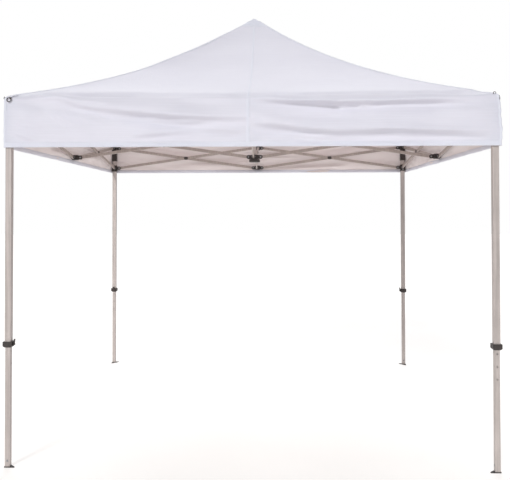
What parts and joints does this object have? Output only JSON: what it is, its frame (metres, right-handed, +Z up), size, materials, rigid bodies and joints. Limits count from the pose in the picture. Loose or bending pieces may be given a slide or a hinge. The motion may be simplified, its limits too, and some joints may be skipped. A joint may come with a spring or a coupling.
{
  "type": "pop up canopy",
  "caption": "Pop up canopy with a hollow-sided pyramid fabric top, folding scissor truss frame and telescoping legs on foot plates.",
  "frame": {"origin": "on the ground, at the centre of the four legs", "axes": "+Z up, +X to the right and +Y to the back as seen from the front side"},
  "size_m": [3.006, 3.006, 3.138],
  "materials": {
    "white_polyester": "woven polyester",
    "frame_paint": "satin powder coat",
    "black_plastic": "moulded, fine texture",
    "bolt_steel": "dark zinc plate"
  },
  "bodies": {
    "canopy_and_upper_hub": {"upper_hub": "black_plastic", "canopy_roof": "white_polyester", "canopy_valance": "white_polyester"},
    "peak_pole": {"peak_pole": "frame_paint", "peak_cap": "black_plastic"},
    "lower_hub": {"lower_hub": "black_plastic"},
    "inner_bar_high_front": {"inner_bar_high_front": "frame_paint"},
    "inner_bar_low_front": {"inner_bar_low_front": "frame_paint"},
    "mid_top_bracket_front": {"mid_top_bracket_front": "black_plastic"},
    "mid_bottom_bracket_front": {"mid_bottom_bracket_front": "black_plastic"},
    "edge_bar_low_front_left": {"edge_bar_low_front_left": "frame_paint"},
    "edge_bar_high_front_left": {"edge_bar_high_front_left": "frame_paint"},
    "edge_bar_low_front_right": {"edge_bar_low_front_right": "frame_paint"},
    "edge_bar_high_front_right": {"edge_bar_high_front_right": "frame_paint"},
    "inner_bar_high_right": {"inner_bar_high_right": "frame_paint"},
    "inner_bar_low_right": {"inner_bar_low_right": "frame_paint"},
    "mid_top_bracket_right": {"mid_top_bracket_right": "black_plastic"},
    "mid_bottom_bracket_right": {"mid_bottom_bracket_right": "black_plastic"},
    "edge_bar_low_right_left": {"edge_bar_low_right_left": "frame_paint"},
    "edge_bar_high_right_left": {"edge_bar_high_right_left": "frame_paint"},
    "edge_bar_low_right_right": {"edge_bar_low_right_right": "frame_paint"},
    "edge_bar_high_right_right": {"edge_bar_high_right_right": "frame_paint"},
    "inner_bar_high_back": {"inner_bar_high_back": "frame_paint"},
    "inner_bar_low_back": {"inner_bar_low_back": "frame_paint"},
    "mid_top_bracket_back": {"mid_top_bracket_back": "black_plastic"},
    "mid_bottom_bracket_back": {"mid_bottom_bracket_back": "black_plastic"},
    "edge_bar_low_back_left": {"edge_bar_low_back_left": "frame_paint"},
    "edge_bar_high_back_left": {"edge_bar_high_back_left": "frame_paint"},
    "edge_bar_low_back_right": {"edge_bar_low_back_right": "frame_paint"},
    "edge_bar_high_back_right": {"edge_bar_high_back_right": "frame_paint"},
    "inner_bar_high_left": {"inner_bar_high_left": "frame_paint"},
    "inner_bar_low_left": {"inner_bar_low_left": "frame_paint"},
    "mid_top_bracket_left": {"mid_top_bracket_left": "black_plastic"},
    "mid_bottom_bracket_left": {"mid_bottom_bracket_left": "black_plastic"},
    "edge_bar_low_left_left": {"edge_bar_low_left_left": "frame_paint"},
    "edge_bar_high_left_left": {"edge_bar_high_left_left": "frame_paint"},
    "edge_bar_low_left_right": {"edge_bar_low_left_right": "frame_paint"},
    "edge_bar_high_left_right": {"edge_bar_high_left_right": "frame_paint"},
    "upper_leg_front_left": {"upper_leg_front_left": "frame_paint"},
    "slider_front_left": {"slider_front_left": "black_plastic"},
    "lower_leg_front_left": {"lower_leg_front_left": "frame_paint"},
    "lock_lever_front_left": {"lock_lever_front_left": "black_plastic"},
    "slider_pin_front_left": {"slider_pin_front_left": "bolt_steel"},
    "upper_leg_front_right": {"upper_leg_front_right": "frame_paint"},
    "slider_front_right": {"slider_front_right": "black_plastic"},
    "lower_leg_front_right": {"lower_leg_front_right": "frame_paint"},
    "lock_lever_front_right": {"lock_lever_front_right": "black_plastic"},
    "slider_pin_front_right": {"slider_pin_front_right": "bolt_steel"},
    "upper_leg_back_right": {"upper_leg_back_right": "frame_paint"},
    "slider_back_right": {"slider_back_right": "black_plastic"},
    "lower_leg_back_right": {"lower_leg_back_right": "frame_paint"},
    "lock_lever_back_right": {"lock_lever_back_right": "black_plastic"},
    "slider_pin_back_right": {"slider_pin_back_right": "bolt_steel"},
    "upper_leg_back_left": {"upper_leg_back_left": "frame_paint"},
    "slider_back_left": {"slider_back_left": "black_plastic"},
    "lower_leg_back_left": {"lower_leg_back_left": "frame_paint"},
    "lock_lever_back_left": {"lock_lever_back_left": "black_plastic"},
    "slider_pin_back_left": {"slider_pin_back_left": "bolt_steel"}
  },
  "joints": [
    {"name": "canopy_fold", "type": "hinge", "parent": "canopy_and_upper_hub", "child": "inner_bar_high_front", "pos_m": [0.0075, -0.05, 2.196], "axis": [1, 0, 0], "range_deg": [0, 77]},
    {"name": "inner_crossing_front", "type": "hinge", "parent": "inner_bar_high_front", "child": "inner_bar_low_front", "pos_m": [0, -0.74, 2.096], "axis": [1, 0, 0], "range_deg": [-154, 0]},
    {"name": "mid_top_pivot_front", "type": "hinge", "parent": "inner_bar_low_front", "child": "mid_top_bracket_front", "pos_m": [-0.0075, -1.43, 2.196], "axis": [1, 0, 0], "range_deg": [0, 77]},
    {"name": "mid_bottom_pivot_front", "type": "hinge", "parent": "inner_bar_high_front", "child": "mid_bottom_bracket_front", "pos_m": [0.0075, -1.43, 1.996], "axis": [1, 0, 0], "range_deg": [-77, 0]},
    {"name": "lower_hub_pivot", "type": "hinge", "parent": "inner_bar_low_front", "child": "lower_hub", "pos_m": [-0.0075, -0.05, 1.996], "axis": [1, 0, 0], "range_deg": [0, 77]},
    {"name": "edge_pivot_front_left", "type": "hinge", "parent": "mid_top_bracket_front", "child": "edge_bar_low_front_left", "pos_m": [-0.045, -1.4675, 2.196], "axis": [0, -1, 0], "range_deg": [0, 77]},
    {"name": "edge_crossing_front_left", "type": "hinge", "parent": "edge_bar_low_front_left", "child": "edge_bar_high_front_left", "pos_m": [-0.735, -1.475, 2.096], "axis": [0, -1, 0], "range_deg": [-154, 0]},
    {"name": "edge_pivot_front_right", "type": "hinge", "parent": "mid_top_bracket_front", "child": "edge_bar_low_front_right", "pos_m": [0.045, -1.4675, 2.196], "axis": [0, 1, 0], "range_deg": [0, 77]},
    {"name": "edge_crossing_front_right", "type": "hinge", "parent": "edge_bar_low_front_right", "child": "edge_bar_high_front_right", "pos_m": [0.735, -1.475, 2.096], "axis": [0, 1, 0], "range_deg": [-154, 0]},
    {"name": "leg_pivot_front_right", "type": "hinge", "parent": "edge_bar_high_front_right", "child": "upper_leg_front_right", "pos_m": [1.425, -1.4825, 2.196], "axis": [0, 1, 0], "range_deg": [0, 77]},
    {"name": "slider_pivot_front_right", "type": "hinge", "parent": "edge_bar_low_front_right", "child": "slider_front_right", "pos_m": [1.425, -1.4675, 1.996], "axis": [0, 1, 0], "range_deg": [-77, 0]},
    {"name": "inner_fold_right", "type": "hinge", "parent": "canopy_and_upper_hub", "child": "inner_bar_high_right", "pos_m": [0.05, 0.0075, 2.196], "axis": [0, 1, 0], "range_deg": [0, 77]},
    {"name": "inner_crossing_right", "type": "hinge", "parent": "inner_bar_high_right", "child": "inner_bar_low_right", "pos_m": [0.74, 0, 2.096], "axis": [0, 1, 0], "range_deg": [-154, 0]},
    {"name": "mid_top_pivot_right", "type": "hinge", "parent": "inner_bar_low_right", "child": "mid_top_bracket_right", "pos_m": [1.43, -0.0075, 2.196], "axis": [0, 1, 0], "range_deg": [0, 77]},
    {"name": "mid_bottom_pivot_right", "type": "hinge", "parent": "inner_bar_high_right", "child": "mid_bottom_bracket_right", "pos_m": [1.43, 0.0075, 1.996], "axis": [0, 1, 0], "range_deg": [-77, 0]},
    {"name": "edge_pivot_right_left", "type": "hinge", "parent": "mid_top_bracket_right", "child": "edge_bar_low_right_left", "pos_m": [1.4675, -0.045, 2.196], "axis": [1, 0, 0], "range_deg": [0, 77]},
    {"name": "edge_crossing_right_left", "type": "hinge", "parent": "edge_bar_low_right_left", "child": "edge_bar_high_right_left", "pos_m": [1.475, -0.735, 2.096], "axis": [1, 0, 0], "range_deg": [-154, 0]},
    {"name": "edge_pivot_right_right", "type": "hinge", "parent": "mid_top_bracket_right", "child": "edge_bar_low_right_right", "pos_m": [1.4675, 0.045, 2.196], "axis": [-1, 0, 0], "range_deg": [0, 77]},
    {"name": "edge_crossing_right_right", "type": "hinge", "parent": "edge_bar_low_right_right", "child": "edge_bar_high_right_right", "pos_m": [1.475, 0.735, 2.096], "axis": [-1, 0, 0], "range_deg": [-154, 0]},
    {"name": "leg_pivot_back_right", "type": "hinge", "parent": "edge_bar_high_right_right", "child": "upper_leg_back_right", "pos_m": [1.4825, 1.425, 2.196], "axis": [-1, 0, 0], "range_deg": [0, 77]},
    {"name": "slider_pivot_back_right", "type": "hinge", "parent": "edge_bar_low_right_right", "child": "slider_back_right", "pos_m": [1.4675, 1.425, 1.996], "axis": [-1, 0, 0], "range_deg": [-77, 0]},
    {"name": "inner_fold_back", "type": "hinge", "parent": "canopy_and_upper_hub", "child": "inner_bar_high_back", "pos_m": [-0.0075, 0.05, 2.196], "axis": [-1, 0, 0], "range_deg": [0, 77]},
    {"name": "inner_crossing_back", "type": "hinge", "parent": "inner_bar_high_back", "child": "inner_bar_low_back", "pos_m": [0, 0.74, 2.096], "axis": [-1, 0, 0], "range_deg": [-154, 0]},
    {"name": "mid_top_pivot_back", "type": "hinge", "parent": "inner_bar_low_back", "child": "mid_top_bracket_back", "pos_m": [0.0075, 1.43, 2.196], "axis": [-1, 0, 0], "range_deg": [0, 77]},
    {"name": "mid_bottom_pivot_back", "type": "hinge", "parent": "inner_bar_high_back", "child": "mid_bottom_bracket_back", "pos_m": [-0.0075, 1.43, 1.996], "axis": [-1, 0, 0], "range_deg": [-77, 0]},
    {"name": "edge_pivot_back_left", "type": "hinge", "parent": "mid_top_bracket_back", "child": "edge_bar_low_back_left", "pos_m": [0.045, 1.4675, 2.196], "axis": [0, 1, 0], "range_deg": [0, 77]},
    {"name": "edge_crossing_back_left", "type": "hinge", "parent": "edge_bar_low_back_left", "child": "edge_bar_high_back_left", "pos_m": [0.735, 1.475, 2.096], "axis": [0, 1, 0], "range_deg": [-154, 0]},
    {"name": "edge_pivot_back_right", "type": "hinge", "parent": "mid_top_bracket_back", "child": "edge_bar_low_back_right", "pos_m": [-0.045, 1.4675, 2.196], "axis": [0, -1, 0], "range_deg": [0, 77]},
    {"name": "edge_crossing_back_right", "type": "hinge", "parent": "edge_bar_low_back_right", "child": "edge_bar_high_back_right", "pos_m": [-0.735, 1.475, 2.096], "axis": [0, -1, 0], "range_deg": [-154, 0]},
    {"name": "leg_pivot_back_left", "type": "hinge", "parent": "edge_bar_high_back_right", "child": "upper_leg_back_left", "pos_m": [-1.425, 1.4825, 2.196], "axis": [0, -1, 0], "range_deg": [0, 77]},
    {"name": "slider_pivot_back_left", "type": "hinge", "parent": "edge_bar_low_back_right", "child": "slider_back_left", "pos_m": [-1.425, 1.4675, 1.996], "axis": [0, -1, 0], "range_deg": [-77, 0]},
    {"name": "inner_fold_left", "type": "hinge", "parent": "canopy_and_upper_hub", "child": "inner_bar_high_left", "pos_m": [-0.05, -0.0075, 2.196], "axis": [0, -1, 0], "range_deg": [0, 77]},
    {"name": "inner_crossing_left", "type": "hinge", "parent": "inner_bar_high_left", "child": "inner_bar_low_left", "pos_m": [-0.74, 0, 2.096], "axis": [0, -1, 0], "range_deg": [-154, 0]},
    {"name": "mid_top_pivot_left", "type": "hinge", "parent": "inner_bar_low_left", "child": "mid_top_bracket_left", "pos_m": [-1.43, 0.0075, 2.196], "axis": [0, -1, 0], "range_deg": [0, 77]},
    {"name": "mid_bottom_pivot_left", "type": "hinge", "parent": "inner_bar_high_left", "child": "mid_bottom_bracket_left", "pos_m": [-1.43, -0.0075, 1.996], "axis": [0, -1, 0], "range_deg": [-77, 0]},
    {"name": "edge_pivot_left_left", "type": "hinge", "parent": "mid_top_bracket_left", "child": "edge_bar_low_left_left", "pos_m": [-1.4675, 0.045, 2.196], "axis": [-1, 0, 0], "range_deg": [0, 77]},
    {"name": "edge_crossing_left_left", "type": "hinge", "parent": "edge_bar_low_left_left", "child": "edge_bar_high_left_left", "pos_m": [-1.475, 0.735, 2.096], "axis": [-1, 0, 0], "range_deg": [-154, 0]},
    {"name": "edge_pivot_left_right", "type": "hinge", "parent": "mid_top_bracket_left", "child": "edge_bar_low_left_right", "pos_m": [-1.4675, -0.045, 2.196], "axis": [1, 0, 0], "range_deg": [0, 77]},
    {"name": "edge_crossing_left_right", "type": "hinge", "parent": "edge_bar_low_left_right", "child": "edge_bar_high_left_right", "pos_m": [-1.475, -0.735, 2.096], "axis": [1, 0, 0], "range_deg": [-154, 0]},
    {"name": "leg_pivot_front_left", "type": "hinge", "parent": "edge_bar_high_left_right", "child": "upper_leg_front_left", "pos_m": [-1.4825, -1.425, 2.196], "axis": [1, 0, 0], "range_deg": [0, 77]},
    {"name": "slider_pivot_front_left", "type": "hinge", "parent": "edge_bar_low_left_right", "child": "slider_front_left", "pos_m": [-1.4675, -1.425, 1.996], "axis": [1, 0, 0], "range_deg": [-77, 0]},
    {"name": "leg_slide_front_left", "type": "slide", "parent": "upper_leg_front_left", "child": "lower_leg_front_left", "axis": [0, 0, 1], "range_m": [0, 0.675]},
    {"name": "lever_front_left", "type": "hinge", "parent": "upper_leg_front_left", "child": "lock_lever_front_left", "pos_m": [-1.442, -1.475, 0.742], "axis": [0, 1, 0], "range_deg": [0, 35], "stiffness_Nm_per_rad": 0.4, "springref_deg": -14.32},
    {"name": "pin_front_left", "type": "slide", "parent": "slider_front_left", "child": "slider_pin_front_left", "axis": [0, 1, 0], "range_m": [0, 0.007], "stiffness_N_per_m": 1500, "springref_m": -0.003},
    {"name": "leg_slide_front_right", "type": "slide", "parent": "upper_leg_front_right", "child": "lower_leg_front_right", "axis": [0, 0, 1], "range_m": [0, 0.675]},
    {"name": "lever_front_right", "type": "hinge", "parent": "upper_leg_front_right", "child": "lock_lever_front_right", "pos_m": [1.475, -1.442, 0.742], "axis": [-1, 0, 0], "range_deg": [0, 35], "stiffness_Nm_per_rad": 0.4, "springref_deg": -14.32},
    {"name": "pin_front_right", "type": "slide", "parent": "slider_front_right", "child": "slider_pin_front_right", "axis": [-1, 0, 0], "range_m": [0, 0.007], "stiffness_N_per_m": 1500, "springref_m": -0.003},
    {"name": "leg_slide_back_right", "type": "slide", "parent": "upper_leg_back_right", "child": "lower_leg_back_right", "axis": [0, 0, 1], "range_m": [0, 0.675]},
    {"name": "lever_back_right", "type": "hinge", "parent": "upper_leg_back_right", "child": "lock_lever_back_right", "pos_m": [1.442, 1.475, 0.742], "axis": [0, -1, 0], "range_deg": [0, 35], "stiffness_Nm_per_rad": 0.4, "springref_deg": -14.32},
    {"name": "pin_back_right", "type": "slide", "parent": "slider_back_right", "child": "slider_pin_back_right", "axis": [0, -1, 0], "range_m": [0, 0.007], "stiffness_N_per_m": 1500, "springref_m": -0.003},
    {"name": "leg_slide_back_left", "type": "slide", "parent": "upper_leg_back_left", "child": "lower_leg_back_left", "axis": [0, 0, 1], "range_m": [0, 0.675]},
    {"name": "lever_back_left", "type": "hinge", "parent": "upper_leg_back_left", "child": "lock_lever_back_left", "pos_m": [-1.475, 1.442, 0.742], "axis": [1, 0, 0], "range_deg": [0, 35], "stiffness_Nm_per_rad": 0.4, "springref_deg": -14.32},
    {"name": "pin_back_left", "type": "slide", "parent": "slider_back_left", "child": "slider_pin_back_left", "axis": [1, 0, 0], "range_m": [0, 0.007], "stiffness_N_per_m": 1500, "springref_m": -0.003},
    {"name": "pole_slide", "type": "slide", "parent": "canopy_and_upper_hub", "child": "peak_pole", "axis": [0, 0, -1], "range_m": [0, 0.83]}
  ],
  "couplings": [
    {"joint": "inner_crossing_front", "follows": "canopy_fold", "ratio": -2},
    {"joint": "mid_top_pivot_front", "follows": "canopy_fold", "ratio": 1},
    {"joint": "mid_bottom_pivot_front", "follows": "canopy_fold", "ratio": -1},
    {"joint": "lower_hub_pivot", "follows": "canopy_fold", "ratio": 1},
    {"joint": "edge_pivot_front_left", "follows": "canopy_fold", "ratio": 1},
    {"joint": "edge_crossing_front_left", "follows": "canopy_fold", "ratio": -2},
    {"joint": "edge_pivot_front_right", "follows": "canopy_fold", "ratio": 1},
    {"joint": "edge_crossing_front_right", "follows": "canopy_fold", "ratio": -2},
    {"joint": "leg_pivot_front_right", "follows": "canopy_fold", "ratio": 1},
    {"joint": "slider_pivot_front_right", "follows": "canopy_fold", "ratio": -1},
    {"joint": "inner_fold_right", "follows": "canopy_fold", "ratio": 1},
    {"joint": "inner_crossing_right", "follows": "canopy_fold", "ratio": -2},
    {"joint": "mid_top_pivot_right", "follows": "canopy_fold", "ratio": 1},
    {"joint": "mid_bottom_pivot_right", "follows": "canopy_fold", "ratio": -1},
    {"joint": "edge_pivot_right_left", "follows": "canopy_fold", "ratio": 1},
    {"joint": "edge_crossing_right_left", "follows": "canopy_fold", "ratio": -2},
    {"joint": "edge_pivot_right_right", "follows": "canopy_fold", "ratio": 1},
    {"joint": "edge_crossing_right_right", "follows": "canopy_fold", "ratio": -2},
    {"joint": "leg_pivot_back_right", "follows": "canopy_fold", "ratio": 1},
    {"joint": "slider_pivot_back_right", "follows": "canopy_fold", "ratio": -1},
    {"joint": "inner_fold_back", "follows": "canopy_fold", "ratio": 1},
    {"joint": "inner_crossing_back", "follows": "canopy_fold", "ratio": -2},
    {"joint": "mid_top_pivot_back", "follows": "canopy_fold", "ratio": 1},
    {"joint": "mid_bottom_pivot_back", "follows": "canopy_fold", "ratio": -1},
    {"joint": "edge_pivot_back_left", "follows": "canopy_fold", "ratio": 1},
    {"joint": "edge_crossing_back_left", "follows": "canopy_fold", "ratio": -2},
    {"joint": "edge_pivot_back_right", "follows": "canopy_fold", "ratio": 1},
    {"joint": "edge_crossing_back_right", "follows": "canopy_fold", "ratio": -2},
    {"joint": "leg_pivot_back_left", "follows": "canopy_fold", "ratio": 1},
    {"joint": "slider_pivot_back_left", "follows": "canopy_fold", "ratio": -1},
    {"joint": "inner_fold_left", "follows": "canopy_fold", "ratio": 1},
    {"joint": "inner_crossing_left", "follows": "canopy_fold", "ratio": -2},
    {"joint": "mid_top_pivot_left", "follows": "canopy_fold", "ratio": 1},
    {"joint": "mid_bottom_pivot_left", "follows": "canopy_fold", "ratio": -1},
    {"joint": "edge_pivot_left_left", "follows": "canopy_fold", "ratio": 1},
    {"joint": "edge_crossing_left_left", "follows": "canopy_fold", "ratio": -2},
    {"joint": "edge_pivot_left_right", "follows": "canopy_fold", "ratio": 1},
    {"joint": "edge_crossing_left_right", "follows": "canopy_fold", "ratio": -2},
    {"joint": "leg_pivot_front_left", "follows": "canopy_fold", "ratio": 1},
    {"joint": "slider_pivot_front_left", "follows": "canopy_fold", "ratio": -1},
    {"joint": "pole_slide", "follows": "canopy_fold", "m_per_rad": 0.6175}
  ]
}
